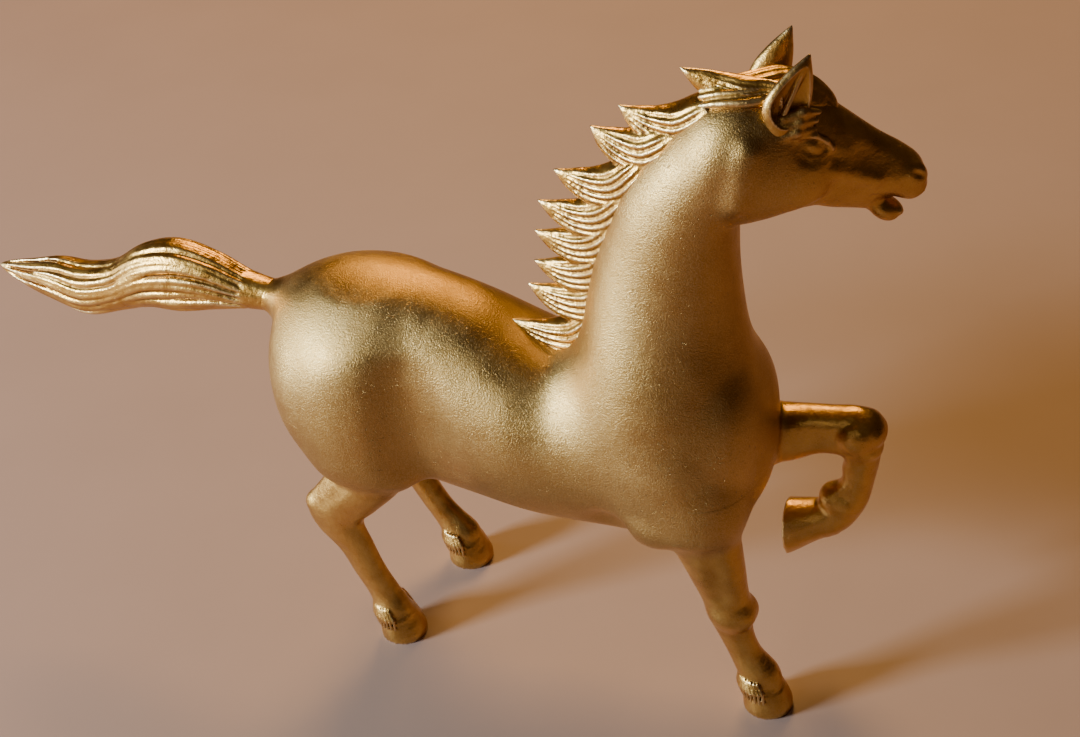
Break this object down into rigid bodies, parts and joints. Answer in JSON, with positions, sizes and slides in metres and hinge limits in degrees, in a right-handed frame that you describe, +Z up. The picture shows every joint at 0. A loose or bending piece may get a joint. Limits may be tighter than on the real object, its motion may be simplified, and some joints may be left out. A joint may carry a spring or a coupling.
{
  "type": "horse statue",
  "caption": "Cast bronze horse statue, trotting with one foreleg raised, standing on three hooves with a flame-shaped mane and a streaming tail; a shelf ornament",
  "frame": {"origin": "on the ground below the middle of the statue, in its middle plane", "axes": "+X the way the horse faces, +Y the horse's left, +Z up"},
  "size_m": [0.1961, 0.0438, 0.1397],
  "materials": {
    "satin_bronze": "fine blasted satin with a champagne gold tone",
    "polished_bronze": "polished gold with brown patina in the grooves",
    "dark_bronze": "polished, with heavier brown patina",
    "brass_rod": "drawn rod"
  },
  "bodies": {
    "root": {"body_casting": "satin_bronze", "head_casting": "polished_bronze", "right_ear": "polished_bronze", "left_ear": "polished_bronze", "mane": "polished_bronze", "forelock": "dark_bronze", "tail": "polished_bronze", "right_foreleg": "polished_bronze", "left_foreleg": "polished_bronze", "right_hindleg": "polished_bronze", "left_hindleg": "polished_bronze", "right_fore_dowel": "brass_rod", "left_fore_dowel": "brass_rod", "right_hind_dowel": "brass_rod", "left_hind_dowel": "brass_rod", "neck_stud": "brass_rod", "tail_stud": "brass_rod", "mane_pins": "brass_rod", "belly_plug": "satin_bronze"}
  },
  "joints": []
}
